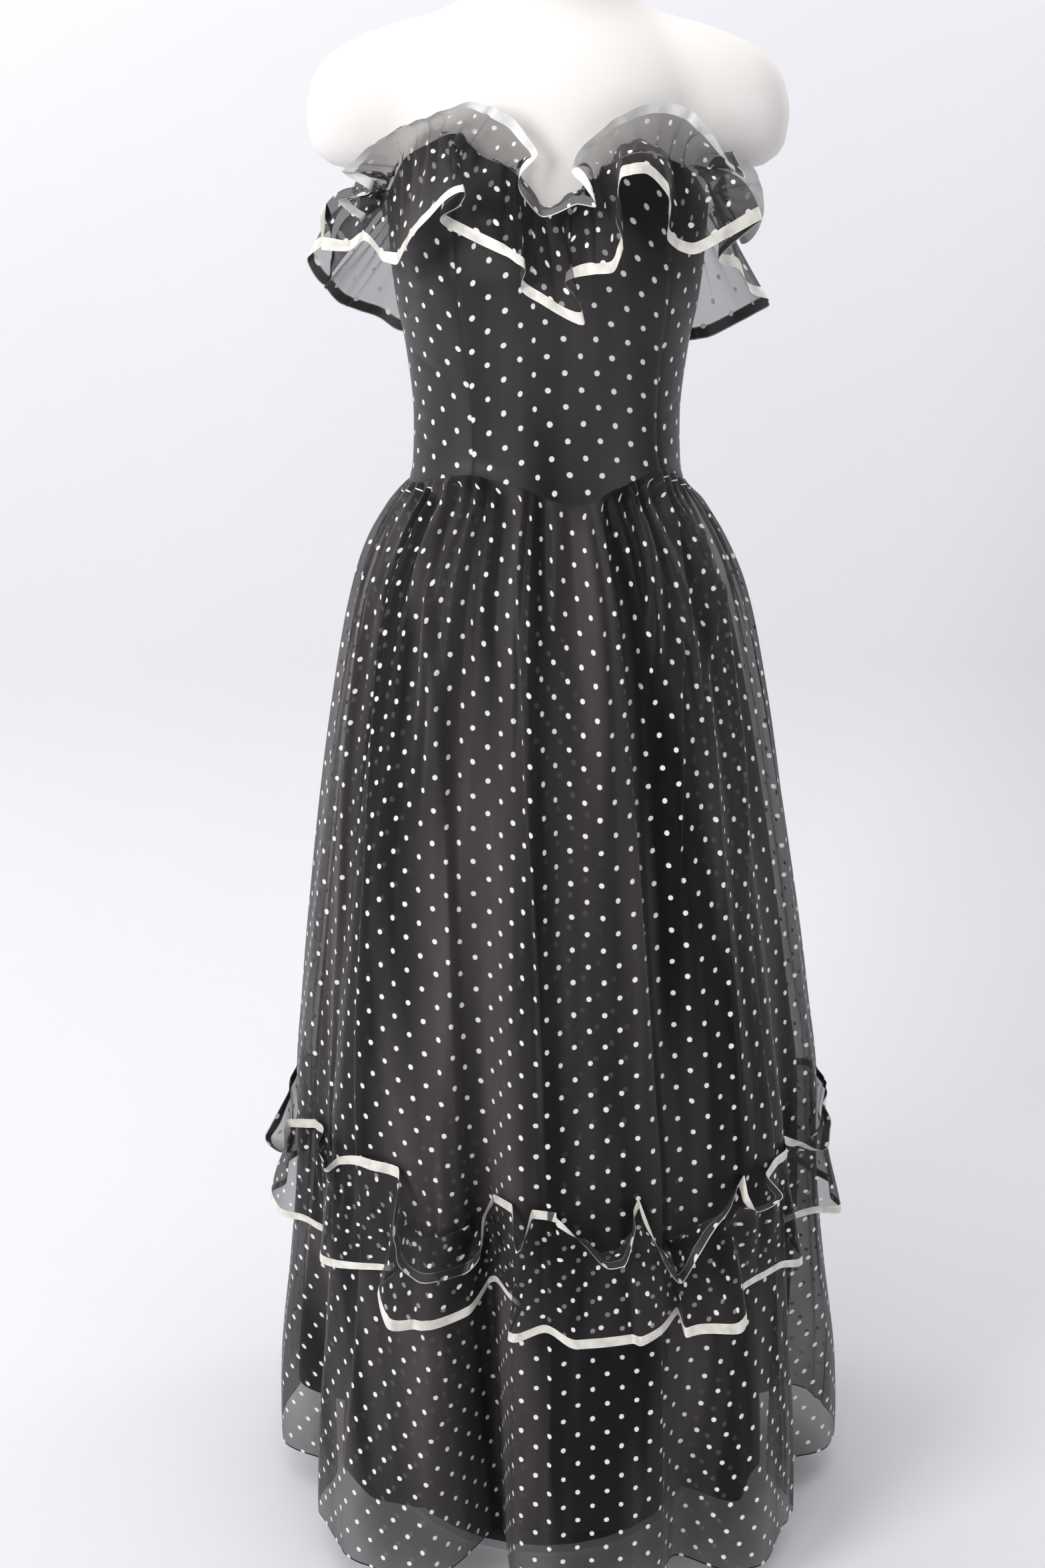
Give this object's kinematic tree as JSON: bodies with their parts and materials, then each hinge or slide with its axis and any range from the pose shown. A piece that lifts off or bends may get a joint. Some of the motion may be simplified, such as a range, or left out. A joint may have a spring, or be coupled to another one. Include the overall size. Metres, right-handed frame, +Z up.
{
  "type": "strapless gown on dress form",
  "caption": "Strapless black gown of sheer white-dotted organza with ribbon-edged neckline ruffle and skirt flounce, on a limbless pale dress form.",
  "frame": {"origin": "centre of the stand's underside, on the floor", "axes": "+Z up the stand, the gown's front towards -Y, +X to the right in a view of its front"},
  "size_m": [0.594, 0.5524, 1.556],
  "materials": {
    "dotted_organza": "satin",
    "black_lining": "matte",
    "ivory_ribbon": "satin",
    "pale_form": "matte",
    "stand_metal": "satin"
  },
  "bodies": {
    "root": {"bodice_center_front": "dotted_organza", "bodice_side_front_left": "dotted_organza", "bodice_side_front_right": "dotted_organza", "bodice_back": "dotted_organza", "skirt_front": "dotted_organza", "skirt_back": "dotted_organza", "lining_front": "black_lining", "lining_back": "black_lining", "neck_ruffle_front": "dotted_organza", "neck_ruffle_back": "dotted_organza", "neck_ruffle_ribbon_upper": "ivory_ribbon", "neck_ruffle_ribbon_lower": "ivory_ribbon", "flounce_front": "dotted_organza", "flounce_back": "dotted_organza", "flounce_ribbon_upper": "ivory_ribbon", "flounce_ribbon_lower": "ivory_ribbon", "form_torso": "pale_form", "stand_pole": "stand_metal", "stand_base": "stand_metal"}
  },
  "joints": []
}
